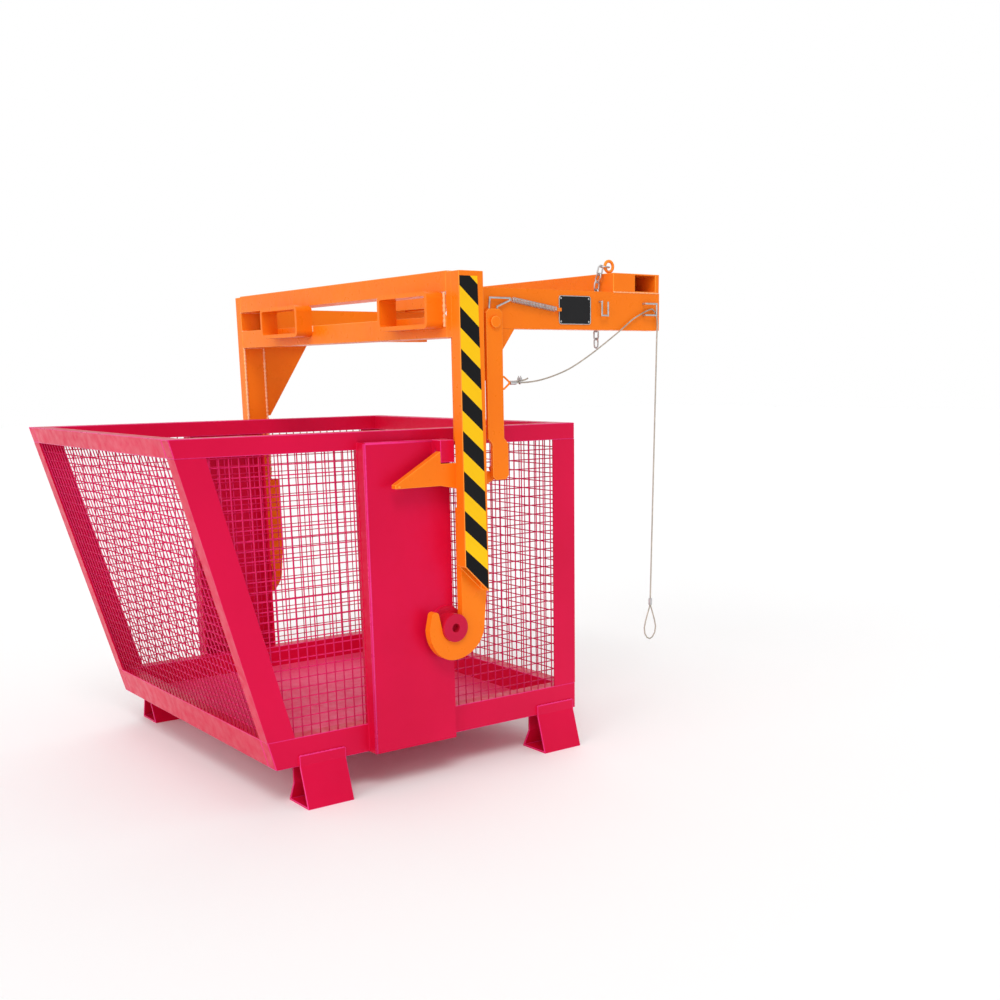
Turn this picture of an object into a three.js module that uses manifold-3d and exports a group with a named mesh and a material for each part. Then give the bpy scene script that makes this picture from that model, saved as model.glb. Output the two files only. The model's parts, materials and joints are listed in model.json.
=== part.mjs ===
// Self dumping lattice hopper in its fork carried portal frame.
// Millimetres, +Z up, +X towards the truck. The origin lies on the ground under the tipping axis.
import * as THREE from 'three';
import { mergeVertices } from 'three/addons/utils/BufferGeometryUtils.js';
import Module from 'manifold-3d';

const wasm = await Module();
wasm.setup();

// Clearances and shared workshop values
const gap = 0.3;
const overrun = 10;
const tubeWall = 4;
const wireSides = 8;
const roundSides = 32;

// Container
const containerWidth = 1200;
const containerHeight = 925;
const rimLength = 1320;
const floorLength = 1080;
const rearReach = 528;
const axisHeight = 472;
const footHeight = 120;
const railHeight = 85;
const rimHeight = 50;
const railDepth = 50;
const floorSheet = 4;
const floorRise = 8;

// Corner angles
const angleWidth = 85;
const angleLeg = 50;
const angleSheet = 5;

// Side columns that carry the trunnions
const columnFront = 252;
const columnRear = 28;
const columnProud = 40;
const columnSheet = 5;
const columnBelowRim = 29;
const columnLip = 15;

// Wire nets
const netPitch = 112;
const netStrand = 5;
const netTuck = 20;
const smallestCellShare = 0.12;

// Feet
const footLength = 148;
const footSheet = 6;
const footLap = 30;
const footSplay = 36;
const footToe = 28;
const footInset = 40;
const frontFootInset = 144;
const rearFootInset = 87;

// Trunnions
const pinRadius = 42;
const flangeRadius = 58;
const flangeThickness = 12;
const pinEndBore = 13;
const pinEndDepth = 20;
const pinProud = 10;

// Hooks
const hookRunIn = 22;
const hookPlate = 25;
const throatPlay = 0.5;
const hookReach = 85;
const hookDepth = 98;
const hookBack = 109;
const hookTipRise = 40;
const hookTipRadius = 12;
const hookNeckRise = 90;
const hookTopRise = 348;

// Posts and head
const postFront = 18;
const postDepth = 82;
const postWidth = 40;
const postTop = 1475;
const postFootFrontRise = 181;
const postFootRearRise = 101;
const headBottomDrop = 177;
const headTopRise = 3;
const lowerChordHeight = 59;
const upperChordHeight = 56;
const cheekDrop = 465;
const cheekFront = 30;
const cheekRear = 118;

// Fork sleeves
const sleeveWidth = 270;
const sleeveHeight = 100;
const sleeveWall = 12;
const sleeveLength = 58;
const sleeveCorner = 20;
const nearSleeveInset = 37;
const farSleeveInset = 279;

// Side beams, rear cross tube and corner gussets
const beamDrop = 41;
const beamHeight = 112;
const beamWidth = 50;
const beamStandOff = 13;
const frameRear = 792;
const crossLength = 190;
const crossHeight = 56;
const crossOverhang = 2;
const crossWindow = 84;
const crossWindowWall = 16;
const gussetSheet = 12;
const gussetLength = 128;
const gussetDrop = 172;

// Latch
const latchSetBack = 60;
const latchBelowRim = 147;
const latchPlate = 22;
const latchTip = 183;
const latchWall = 31;
const latchTopRise = 87;
const latchNotchRise = 52;
const latchUnderside = 10;
const latchTipHeight = 10;
const latchTail = 82;
const latchTailHeight = 19;
const latchHub = 27;
const latchNotchLength = 55;

// Catch on the container
const catchLength = 45;
const catchLip = 28;
const catchLipDrop = 63;
const catchTopSheet = 30;
const catchHeel = 20;

// Release lever
const leverSetBack = 45;
const leverRise = 18;
const leverWidth = 56;
const leverSheet = 12;
const leverTopRise = 36;
const leverBendRise = 102;
const leverFootDrop = 2;
const leverPaddleShift = 14;
const leverCorner = 10;
const studRise = 28;
const studShift = 13;
const studRadius = 8;

// Bolts
const boltRadius = 9;
const boltPlay = 0.3;
const boltHeadRadius = 16;
const boltHeadHeight = 8;
const washerHeight = 2.5;

// Wire work
const wireRadius = 3;
const eyeDrop = 152;
const eyeHeight = 34;
const eyeReach = 24;

// Return spring
const springWire = 1.2;
const springRadius = 7;
const springCurls = 30;
const springStepsPerCurl = 8;
const springSides = 5;
const springReach = 63;
const springLength = 166;
const springFrontDrop = 31;
const springRearDrop = 56;
const anchorLength = 16;
const anchorRadius = 5;

// Rope
const ropeRadius = 2.25;
const ropeSagShares = [
  [0, 0], [0.07, 0.009], [0.151, 0.037], [0.26, 0.101], [0.37, 0.192], [0.5, 0.344], [0.63, 0.519],
  [0.75, 0.692], [0.87, 0.874],
];
const ropeBend = [[0, 0], [17, 4], [27, 18], [31, 42]];
const ropeFallReach = 31;
const ropeFallDrop = 42;
const ropeFall = 870;
const ropeFallDrift = -16;
const ropeFallShares = [0.06, 0.14, 0.24, 0.36, 0.48, 0.6, 0.72, 0.84, 1];
const loopOutline = [
  [3, 6], [12, 30], [20, 52], [25, 74], [22, 94], [12, 108], [0, 113],
  [-12, 108], [-22, 94], [-25, 74], [-20, 52], [-12, 30], [-3, 6],
];
const ropeSides = 8;
const ropeSteps = 78;
const clampLength = 22;
const clampRadius = 6;

// Rope hanger, rope guide and safety eye
const hangerInset = 247;
const hangerBelowTop = 30;
const hangerDrop = 40;
const hangerWidth = 24;
const standOff = 14;
const guideInset = 24;
const guideLength = 46;
const guideBelowTop = 32;
const guideHeight = 34;
const eyeRingRadius = 16;
const eyeRingWire = 5;
const eyeRingSetBack = 20;
const eyeRingInset = 45;

// Places worked out from the sizes above
const wall = containerWidth / 2;
const railTop = footHeight + railHeight;
const rimTop = footHeight + containerHeight;
const rimBottom = rimTop - rimHeight;
const lean = (rimLength - floorLength) / containerHeight;
const leanedSheet = angleSheet * Math.hypot(1, lean);
const columnFace = wall + columnProud;
const hookInner = columnFace + hookRunIn;
const postInner = hookInner + hookPlate;
const postOuter = postInner + postWidth;
const postRear = postFront + postDepth;
const beamTop = postTop - beamDrop;
const beamBottom = beamTop - beamHeight;
const beamFace = postInner + beamStandOff;
const headBottom = postTop - headBottomDrop;
const headTop = postTop + headTopRise;
const crossFront = frameRear - crossLength;
const latchPivotX = postFront + latchSetBack;
const latchPivotZ = rimTop - latchBelowRim;
const leverPivotX = postRear + leverSetBack;
const leverPivotZ = beamBottom + leverRise;
const springFront = leverPivotX + springReach;
const springRear = springFront + springLength;
const springFrontZ = beamTop - springFrontDrop;
const springRearZ = beamTop - springRearDrop;
const hangerTop = beamTop - hangerBelowTop;
const guideRear = frameRear - guideInset;
const guideTop = beamTop - guideBelowTop;
const frontAt = (z) => rearReach - floorLength - lean * (z - footHeight);

// Finishes
const red = { color: 0xce142d, roughness: 0.42, metalness: 0.1 };
const redWire = { color: 0xc0183a, roughness: 0.5, metalness: 0.1 };
const orange = { color: 0xfa7d14, roughness: 0.4, metalness: 0.1 };
const steel = { color: 0xb9bcc0, roughness: 0.35, metalness: 0.9 };
const darkSteel = { color: 0x5a3038, roughness: 0.5, metalness: 0.6 };
const rope = { color: 0xb8b2a4, roughness: 0.6, metalness: 0.4 };

const part = new THREE.Group();

function addPiece(name, geometry, finish) {
  const mesh = new THREE.Mesh(geometry, new THREE.MeshStandardMaterial(finish));
  mesh.name = name;
  part.add(mesh);
}

// Turns a closed geometry into a solid that can be joined and cut
function solid(geometry) {
  const bare = new THREE.BufferGeometry();
  bare.setAttribute('position', geometry.attributes.position);
  bare.setIndex(geometry.index);
  const merged = mergeVertices(bare);
  const corners = merged.index.array;
  const kept = [];
  for (let i = 0; i < corners.length; i += 3) {
    const [a, b, c] = [corners[i], corners[i + 1], corners[i + 2]];
    if (a !== b && b !== c && c !== a) kept.push(a, b, c);
  }
  return new wasm.Manifold(new wasm.Mesh({
    numProp: 3,
    vertProperties: new Float32Array(merged.attributes.position.array),
    triVerts: new Uint32Array(kept),
  }));
}

function toGeometry(body) {
  const mesh = body.getMesh();
  const geometry = new THREE.BufferGeometry();
  geometry.setAttribute('position', new THREE.BufferAttribute(mesh.vertProperties, mesh.numProp));
  geometry.setIndex(new THREE.BufferAttribute(mesh.triVerts, 1));
  return geometry;
}

function join(...geometries) {
  return toGeometry(geometries.map(solid).reduce((whole, next) => whole.add(next)));
}

function cut(geometry, ...tools) {
  return toGeometry(tools.map(solid).reduce((whole, tool) => whole.subtract(tool), solid(geometry)));
}

// A block between two corners, given in any order
function block([xa, xb], [ya, yb], [za, zb]) {
  const geometry = new THREE.BoxGeometry(1, 1, 1);
  const low = [Math.min(xa, xb), Math.min(ya, yb), Math.min(za, zb)];
  const high = [Math.max(xa, xb), Math.max(ya, yb), Math.max(za, zb)];
  const { array } = geometry.attributes.position;
  for (let i = 0; i < array.length; i += 1) array[i] = array[i] > 0 ? high[i % 3] : low[i % 3];
  return geometry;
}

// An outline drawn in the plane across an axis and run along it between two places.
// Across x it is drawn in (y, z), across y in (x, z) and across z in (x, y).
function prism(shape, axis, [from, to], curveSegments = wireSides) {
  const geometry = new THREE.ExtrudeGeometry(shape, { depth: 1, bevelEnabled: false, curveSegments });
  const position = geometry.attributes.position;
  const low = Math.min(from, to);
  const high = Math.max(from, to);
  for (let i = 0; i < position.count; i += 1) {
    const across = position.getX(i);
    const up = position.getY(i);
    const far = position.getZ(i) > 0;
    if (axis === 'x') position.setXYZ(i, far ? high : low, across, up);
    if (axis === 'y') position.setXYZ(i, across, far ? low : high, up);
    if (axis === 'z') position.setXYZ(i, across, up, far ? high : low);
  }
  return geometry;
}

function outline(points) {
  return new THREE.Shape(points.map(([a, b]) => new THREE.Vector2(a, b)));
}

function roundedOutline([a0, a1], [b0, b1], radius) {
  const shape = new THREE.Shape();
  const quarter = Math.PI / 2;
  shape.absarc(a1 - radius, b0 + radius, radius, -quarter, 0);
  shape.absarc(a1 - radius, b1 - radius, radius, 0, quarter);
  shape.absarc(a0 + radius, b1 - radius, radius, quarter, 2 * quarter);
  shape.absarc(a0 + radius, b0 + radius, radius, 2 * quarter, 3 * quarter);
  return shape;
}

// A sheet bent along a path, its thickness on the left of the path, with mitred bends
function foldedOutline(path, thickness) {
  const points = path.map(([a, b]) => new THREE.Vector2(a, b));
  const normals = points.slice(1).map((point, i) => {
    const along = point.clone().sub(points[i]).normalize();
    return new THREE.Vector2(-along.y, along.x);
  });
  const offset = points.map((point, i) => {
    const before = normals[Math.max(i - 1, 0)];
    const after = normals[Math.min(i, normals.length - 1)];
    const mitre = before.clone().add(after).divideScalar(1 + before.dot(after));
    return point.clone().addScaledVector(mitre, thickness);
  });
  return new THREE.Shape([...points, ...offset.reverse()]);
}

// A turned piece along Y: its profile is given as radius and distance outwards from a place
function turned(profile, x, y, z, side, sides = roundSides) {
  const geometry = new THREE.LatheGeometry(profile.map(([r, out]) => new THREE.Vector2(r, out)), sides);
  if (side < 0) geometry.rotateZ(Math.PI);
  geometry.translate(x, y, z);
  return toGeometry(solid(geometry));
}

// A wire or rope along a curve
function wire(route, radius, steps, sides) {
  const section = new THREE.Shape();
  for (let i = 0; i < sides; i += 1) {
    const turn = (2 * Math.PI * i) / sides;
    const [a, b] = [radius * Math.cos(turn), radius * Math.sin(turn)];
    if (i === 0) section.moveTo(a, b);
    else section.lineTo(a, b);
  }
  return new THREE.ExtrudeGeometry(section, { steps, bevelEnabled: false, extrudePath: route });
}

// A wire bent sharply at each point: straight stretches that meet in mitres
function bentWire(path, radius) {
  const points = path.map(([x, y, z]) => new THREE.Vector3(x, y, z));
  const runs = points.slice(1).map((point, i) => point.clone().sub(points[i]).normalize());
  const [first] = runs;
  const across = first.clone().cross(new THREE.Vector3(first.z, first.x, first.y)).normalize();
  const other = first.clone().cross(across);
  const section = Array.from({ length: wireSides }, (_, k) => {
    const turn = (2 * Math.PI * k) / wireSides;
    return points[0].clone()
      .addScaledVector(across, radius * Math.cos(turn))
      .addScaledVector(other, radius * Math.sin(turn));
  });
  const rings = [section];
  points.slice(1).forEach((point, i) => {
    const mitre = runs[i].clone().add(runs[Math.min(i + 1, runs.length - 1)]);
    rings.push(rings[i].map((corner) => {
      const way = point.clone().sub(corner).dot(mitre) / runs[i].dot(mitre);
      return corner.clone().addScaledVector(runs[i], way);
    }));
  });
  const last = (rings.length - 1) * wireSides;
  const corners = [];
  for (let k = 0; k < wireSides; k += 1) {
    const next = (k + 1) % wireSides;
    for (let ring = 0; ring < last; ring += wireSides) {
      const [low, high] = [ring, ring + wireSides];
      corners.push(low + k, low + next, high + next, low + k, high + next, high + k);
    }
    if (k > 0 && next > 0) corners.push(0, next, k, last, last + k, last + next);
  }
  const geometry = new THREE.BufferGeometry().setFromPoints(rings.flat());
  geometry.setIndex(corners);
  return geometry;
}

// What of a cell lies left of the line from a to b, at least an inset away from it
function keepLeft(cell, a, b, inset) {
  const along = b.clone().sub(a).normalize();
  const depth = (point) => along.cross(point.clone().sub(a)) - inset;
  const kept = [];
  cell.forEach((point, i) => {
    const next = cell[(i + 1) % cell.length];
    const here = depth(point);
    const there = depth(next);
    if (here >= 0) kept.push(point);
    if ((here >= 0) !== (there >= 0)) kept.push(point.clone().lerp(next, here / (here - there)));
  });
  return kept;
}

// The gaps of a welded net inside a convex outline given counterclockwise
function netCells(border) {
  const bounds = new THREE.Box2().setFromPoints(border);
  const size = bounds.getSize(new THREE.Vector2());
  const columns = Math.round(size.x / netPitch);
  const rows = Math.round(size.y / netPitch);
  const step = new THREE.Vector2(size.x / columns, size.y / rows);
  const smallest = smallestCellShare * step.x * step.y;
  const half = netStrand / 2;
  const cells = [];
  for (let column = 0; column < columns; column += 1) {
    for (let row = 0; row < rows; row += 1) {
      const low = bounds.min.clone().add(new THREE.Vector2(column * step.x, row * step.y));
      const high = low.clone().add(step);
      low.addScalar(half);
      high.addScalar(-half);
      let cell = [low, new THREE.Vector2(high.x, low.y), high, new THREE.Vector2(low.x, high.y)];
      border.forEach((corner, i) => {
        cell = keepLeft(cell, corner, border[(i + 1) % border.length], netStrand);
      });
      if (cell.length > 2 && THREE.ShapeUtils.area(cell) > smallest) cells.push(cell);
    }
  }
  return cells;
}

function net(corners, axis, [from, to]) {
  const border = corners.map(([a, b]) => new THREE.Vector2(a, b));
  const past = [Math.min(from, to) - overrun, Math.max(from, to) + overrun];
  const cells = netCells(border).map((cell) => prism(new THREE.Shape(cell), axis, past));
  return cut(prism(new THREE.Shape(border), axis, [from, to]), ...cells);
}

// Container rails and rim: square tubes whose front follows the leaning face
function sideTube(side, low, high) {
  const profile = outline([
    [frontAt(low), low], [rearReach, low], [rearReach, high], [frontAt(high), high],
  ]);
  const tube = prism(profile, 'y', [side * wall, side * (wall - railDepth)]);
  const bore = block(
    [frontAt(high) - overrun, rearReach + overrun],
    [side * (wall - tubeWall), side * (wall - railDepth + tubeWall)],
    [low + tubeWall, high - tubeWall],
  );
  return cut(tube, bore);
}

function frontTube(low, high) {
  const reach = wall - railDepth;
  const leaning = (inset, bottom, top, half) => prism(outline([
    [frontAt(bottom) + inset, bottom],
    [frontAt(bottom) + railDepth - inset, bottom],
    [frontAt(top) + railDepth - inset, top],
    [frontAt(top) + inset, top],
  ]), 'y', [-half, half]);
  return cut(
    leaning(0, low, high, reach),
    leaning(tubeWall, low + tubeWall, high - tubeWall, reach + overrun),
  );
}

function rearTube(low, high) {
  const reach = wall - railDepth;
  return cut(
    block([rearReach - railDepth, rearReach], [-reach, reach], [low, high]),
    block(
      [rearReach - railDepth + tubeWall, rearReach - tubeWall],
      [-reach - overrun, reach + overrun],
      [low + tubeWall, high - tubeWall],
    ),
  );
}

function frontAngle(side) {
  const strip = (width) => outline([
    [frontAt(railTop), railTop], [frontAt(railTop) + width, railTop],
    [frontAt(rimBottom) + width, rimBottom], [frontAt(rimBottom), rimBottom],
  ]);
  return join(
    prism(strip(angleWidth), 'y', [side * wall, side * (wall - angleSheet)]),
    prism(strip(leanedSheet), 'y', [side * wall, side * (wall - angleLeg)]),
  );
}

function rearAngle(side) {
  const height = [railTop, rimBottom];
  return join(
    block([rearReach - angleWidth, rearReach], [side * wall, side * (wall - angleSheet)], height),
    block([rearReach - angleSheet, rearReach], [side * wall, side * (wall - angleLeg)], height),
  );
}

// A folded sheet column: web, two flanges, and a lip on each that closes the wall between the rails
function sideColumn(side) {
  const top = rimTop - columnBelowRim;
  const flange = (x) => [
    block([x, x + columnSheet], [side * columnFace, side * wall], [footHeight, top]),
    block([x, x + columnSheet], [side * (columnFace - columnSheet), side * (wall - columnLip)],
      [railTop, rimBottom]),
  ];
  return join(
    block([-columnFront, columnRear], [side * columnFace, side * (columnFace - columnSheet)],
      [footHeight, top]),
    ...flange(-columnFront),
    ...flange(columnRear - columnSheet),
  );
}

function sideNet(side, corners) {
  const outer = wall - angleSheet;
  return net(corners, 'y', [side * outer, side * (outer - netStrand)]);
}

function frontNetCorners() {
  const hidden = angleWidth - netTuck;
  return [
    [frontAt(railTop) + hidden, railTop], [-columnFront, railTop],
    [-columnFront, rimBottom], [frontAt(rimBottom) + hidden, rimBottom],
  ];
}

function rearNetCorners() {
  const rear = rearReach - angleWidth + netTuck;
  return [[columnRear, railTop], [rear, railTop], [rear, rimBottom], [columnRear, rimBottom]];
}

function endNet(from) {
  const reach = wall - angleLeg + netTuck;
  const corners = [[-reach, railTop], [reach, railTop], [reach, rimBottom], [-reach, rimBottom]];
  return net(corners, 'x', [from, from + netStrand]);
}

function leaningNet() {
  const geometry = endNet(leanedSheet + gap);
  const position = geometry.attributes.position;
  for (let i = 0; i < position.count; i += 1) {
    position.setX(i, position.getX(i) + frontAt(position.getZ(i)));
  }
  return geometry;
}

// A foot folded from plate: it laps the rail, splays out, turns in along the ground and rises to the rail
function foot(side, centre) {
  const path = [
    [wall, footHeight + footLap],
    [wall, footHeight],
    [wall + footSplay, footSheet],
    [wall - footInset - footToe, footSheet],
    [wall - footInset, footHeight / 2],
    [wall - footInset, footHeight],
  ];
  const profile = foldedOutline(path.map(([y, z]) => [side * y, z]), side * footSheet);
  return prism(profile, 'x', [centre - footLength / 2, centre + footLength / 2]);
}

function trunnion(side) {
  const shoulder = flangeThickness;
  const end = hookRunIn + hookPlate + pinProud;
  const profile = [
    [0, 0], [flangeRadius, 0], [flangeRadius, shoulder], [pinRadius, shoulder], [pinRadius, end],
    [pinEndBore, end], [pinEndBore, end - pinEndDepth], [0, end - pinEndDepth],
  ];
  return turned(profile, 0, side * columnFace, axisHeight, side);
}

// The catch hangs over the latch: a heel on the column, a top flange and a lip that the notch holds
function catchBracket() {
  const top = rimTop - columnBelowRim;
  const lipOuter = postInner + gap;
  const lipInner = lipOuter - catchLip;
  const profile = outline([
    [-columnFace, top], [-lipOuter, top], [-lipOuter, top - catchLipDrop],
    [-lipInner, top - catchLipDrop], [-lipInner, top - catchTopSheet],
    [-columnFace, top - catchTopSheet - catchHeel],
  ]);
  const front = gap - latchWall;
  return prism(profile, 'x', [front, front + catchLength]);
}

// An open hook: the throat is round under the pin, the front wall rises to a rounded tip
function hook(side) {
  const throat = pinRadius + throatPlay;
  const shape = new THREE.Shape();
  const quarter = Math.PI / 2;
  const neckTurn = Math.acos(cheekFront / throat);
  const tipZ = axisHeight + hookTipRise;
  const tipX = (-hookReach - throat) / 2;
  const tipRadius = Math.min(hookTipRadius, (hookReach - throat) / 2);
  const hookTop = axisHeight + hookTopRise;
  shape.moveTo(cheekFront, hookTop);
  shape.lineTo(cheekFront, axisHeight + throat * Math.sin(neckTurn));
  shape.absarc(0, axisHeight, throat, neckTurn, -2 * quarter, true);
  shape.lineTo(tipX + tipRadius, tipZ);
  shape.absarc(tipX, tipZ, tipRadius, 0, 2 * quarter, false);
  shape.lineTo(-hookReach, axisHeight);
  shape.absellipse(0, axisHeight, hookReach, hookDepth, 2 * quarter, 3 * quarter, false, 0);
  shape.absellipse(0, axisHeight, hookBack, hookDepth, 3 * quarter, 4 * quarter, false, 0);
  shape.lineTo(cheekRear, axisHeight + hookNeckRise);
  shape.lineTo(cheekRear, hookTop);
  return prism(shape, 'y', [side * hookInner, side * postInner]);
}

function cheek() {
  const bottom = postTop - cheekDrop;
  return prism(outline([
    [cheekFront, bottom], [cheekRear, bottom], [cheekRear, beamBottom],
    [postRear, beamBottom], [postRear, postTop], [postFront, postTop],
    [postFront, headBottom], [cheekFront, headBottom],
  ]), 'y', [-hookInner, -postInner]);
}

function post(side) {
  const frontFoot = axisHeight + postFootFrontRise;
  const rearFoot = axisHeight + postFootRearRise;
  const body = prism(outline([
    [postFront, frontFoot], [postRear, rearFoot], [postRear, postTop], [postFront, postTop],
  ]), 'y', [side * postInner, side * postOuter]);
  const bore = block(
    [postFront + tubeWall, postRear - tubeWall],
    [side * (postInner + tubeWall), side * (postOuter - tubeWall)],
    [rearFoot - overrun, postTop - tubeWall],
  );
  return cut(body, bore);
}

// Head chords run between the posts; on the near side they stop at the cheek
function chord(bottom, height) {
  const along = [-hookInner, postInner];
  return cut(
    block([postFront, postRear], along, [bottom, bottom + height]),
    block(
      [postFront + tubeWall, postRear - tubeWall],
      [along[0] - overrun, along[1] + overrun],
      [bottom + tubeWall, bottom + height - tubeWall],
    ),
  );
}

function forkSleeve(side) {
  const outer = postInner - (side < 0 ? nearSleeveInset : farSleeveInset);
  const span = side < 0 ? [-outer, -outer + sleeveWidth] : [outer - sleeveWidth, outer];
  const shape = roundedOutline(span, [beamBottom, beamBottom + sleeveHeight], sleeveCorner);
  shape.holes.push(roundedOutline(
    [span[0] + sleeveWall, span[1] - sleeveWall],
    [beamBottom + sleeveWall, beamBottom + sleeveHeight - sleeveWall],
    sleeveCorner - sleeveWall,
  ));
  return prism(shape, 'x', [postFront - sleeveLength, postFront]);
}

function sideBeam(side) {
  const inner = beamFace - beamWidth;
  return cut(
    block([postRear, frameRear], [side * inner, side * beamFace], [beamBottom, beamTop]),
    block(
      [postRear - overrun, frameRear + overrun],
      [side * (inner + tubeWall), side * (beamFace - tubeWall)],
      [beamBottom + tubeWall, beamTop - tubeWall],
    ),
  );
}

// The rear cross member lies on the beams: an open tube behind, a folded shelf before it
function crossTube() {
  const rear = frameRear - crossOverhang;
  const top = beamTop + crossHeight;
  const windowFront = rear - crossWindowWall - crossWindow;
  const across = [-beamFace, beamFace];
  const past = [-beamFace - overrun, beamFace + overrun];
  const shelfInner = beamFace - beamWidth - overrun;
  return cut(
    block([crossFront, rear], across, [beamTop, top]),
    block([windowFront, windowFront + crossWindow], past, [beamTop + tubeWall, top - tubeWall]),
    block([crossFront + tubeWall, windowFront - tubeWall], [-shelfInner, shelfInner],
      [beamTop - overrun, top - tubeWall]),
  );
}

function cornerGusset(side) {
  return prism(outline([
    [postRear, beamBottom - gussetDrop], [postRear + gussetLength, beamBottom], [postRear, beamBottom],
  ]), 'y', [side * postInner, side * (postInner + gussetSheet)]);
}

// The latch turns on a bolt through the post: ramp, notch for the catch, hub and tail
function latch() {
  const at = (x, z) => [latchPivotX + x, latchPivotZ + z];
  const wallX = -latchWall - latchPivotX;
  const shape = outline([
    [-latchTip, latchPivotZ - latchUnderside],
    [-latchTip, latchPivotZ - latchUnderside + latchTipHeight],
    at(wallX, latchTopRise),
    at(wallX, latchNotchRise),
    at(wallX + latchNotchLength, latchNotchRise),
    at(-latchHub / 2, latchHub),
    at(latchHub / 2, latchHub),
    at(latchTail, latchTailHeight),
    at(latchTail, 0),
    at(latchHub, -latchHub),
    at(-latchHub, -latchHub),
    at(wallX, -latchUnderside),
  ]);
  shape.holes.push(new THREE.Path().absarc(latchPivotX, latchPivotZ, boltRadius + boltPlay, 0, 2 * Math.PI));
  const outer = postInner - gap;
  return prism(shape, 'y', [-outer, -(outer - latchPlate)]);
}

function latchBolt() {
  const reach = latchPlate + 2 * gap;
  const profile = [
    [0, 0], [boltRadius, 0], [boltRadius, reach], [boltHeadRadius, reach],
    [boltHeadRadius, reach + boltHeadHeight], [0, reach + boltHeadHeight],
  ];
  return turned(profile, latchPivotX, -postInner, latchPivotZ, 1);
}

function leverBolt() {
  const reach = washerHeight + leverSheet + 2 * gap;
  const profile = [
    [0, 0], [boltHeadRadius, 0], [boltHeadRadius, washerHeight], [boltRadius, washerHeight],
    [boltRadius, reach], [boltHeadRadius, reach], [boltHeadRadius, reach + boltHeadHeight],
    [0, reach + boltHeadHeight],
  ];
  return turned(profile, leverPivotX, -beamFace, leverPivotZ, -1);
}

// The lever hangs on its bolt: a flat bar, a paddle at its foot and a stud over the latch tail
const leverInner = beamFace + washerHeight + gap;
const leverOuter = leverInner + leverSheet;

function lever() {
  const half = leverWidth / 2;
  const left = leverPivotX - half;
  const right = leverPivotX + half;
  const bend = latchPivotZ + leverBendRise;
  const end = latchPivotZ - leverFootDrop;
  const shape = outline([
    [left, leverPivotZ + leverTopRise - leverCorner], [left, bend + leverPaddleShift],
    [left + leverPaddleShift, bend], [left + leverPaddleShift, end + leverCorner],
    [left + leverPaddleShift + leverCorner, end], [right + leverPaddleShift - leverCorner, end],
    [right + leverPaddleShift, end + leverCorner], [right + leverPaddleShift, bend],
    [right, bend + leverPaddleShift], [right, leverPivotZ + leverTopRise - leverCorner],
    [right - leverCorner, leverPivotZ + leverTopRise], [left + leverCorner, leverPivotZ + leverTopRise],
  ]);
  shape.holes.push(new THREE.Path().absarc(leverPivotX, leverPivotZ, boltRadius + boltPlay, 0, 2 * Math.PI));
  const studReach = leverInner - (postInner - gap - latchPlate);
  const stud = turned(
    [[0, -overrun], [studRadius, -overrun], [studRadius, studReach], [0, studReach]],
    leverPivotX + studShift, -leverInner, latchPivotZ + studRise, 1,
  );
  return join(prism(shape, 'y', [-leverInner, -leverOuter]), stud);
}

// The wire loop that the spring pulls on stands over the lever's top edge
function leverLoop() {
  const y = -(leverInner + leverOuter) / 2;
  const seat = leverPivotZ + leverTopRise + gap;
  const start = seat + 2 * wireRadius;
  const left = leverPivotX - leverWidth / 4;
  const right = leverPivotX + leverWidth / 4;
  const tip = springFront - wireRadius - 2 * gap;
  return bentWire([
    [left, y, seat], [left, y, start], [left + wireRadius, y, springFrontZ + wireRadius],
    [tip, y, springFrontZ + wireRadius], [tip, y, springFrontZ - wireRadius], [right, y, start], [right, y, seat],
  ], wireRadius);
}

const ropeStartZ = leverPivotZ - eyeDrop - eyeHeight / 2;

function leverEye() {
  const y = -(leverInner + leverOuter) / 2;
  const seat = leverPivotX + leverWidth / 2 + gap;
  const start = seat + 2 * wireRadius;
  const high = leverPivotZ - eyeDrop;
  const low = high - eyeHeight;
  const tip = seat + eyeReach;
  return bentWire([
    [seat, y, high], [start, y, high], [tip, y, ropeStartZ + wireRadius],
    [tip, y, ropeStartZ - wireRadius], [start, y, low], [seat, y, low],
  ], wireRadius);
}

// The return spring: a helix between two straight ends, one unbroken tube
const springY = -(leverInner + leverOuter) / 2;

class SpringCurve extends THREE.Curve {
  getPoint(t) {
    const start = new THREE.Vector3(springFront, springY, springFrontZ);
    const end = new THREE.Vector3(springRear, springY, springRearZ);
    const axis = end.clone().sub(start);
    const lead = (2 * springWire) / axis.length();
    const whole = 2 * Math.PI * springCurls;
    const turn = THREE.MathUtils.clamp((t - lead) / (1 - 2 * lead), 0, 1) * whole;
    const radius = springRadius * Math.min(1, Math.min(turn, whole - turn) / Math.PI);
    const along = axis.clone().normalize();
    const side = new THREE.Vector3(0, 1, 0);
    const up = along.clone().cross(side);
    return start.addScaledVector(axis, t)
      .addScaledVector(side, radius * Math.cos(turn))
      .addScaledVector(up, radius * Math.sin(turn));
  }
}

// The least gap between the spring and itself, measured between points over half a curl apart
function leastSpringGap() {
  const points = new SpringCurve().getSpacedPoints(springCurls * springStepsPerCurl);
  let least = Infinity;
  points.forEach((point, i) => {
    points.slice(i + springStepsPerCurl / 2).forEach((other) => {
      least = Math.min(least, point.distanceTo(other));
    });
  });
  return least - 2 * springWire;
}

function springAnchor() {
  const front = springRear + gap;
  return block(
    [front, front + anchorLength],
    [-beamFace, springY - anchorRadius],
    [springRearZ - anchorRadius, springRearZ + anchorRadius],
  );
}

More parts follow.
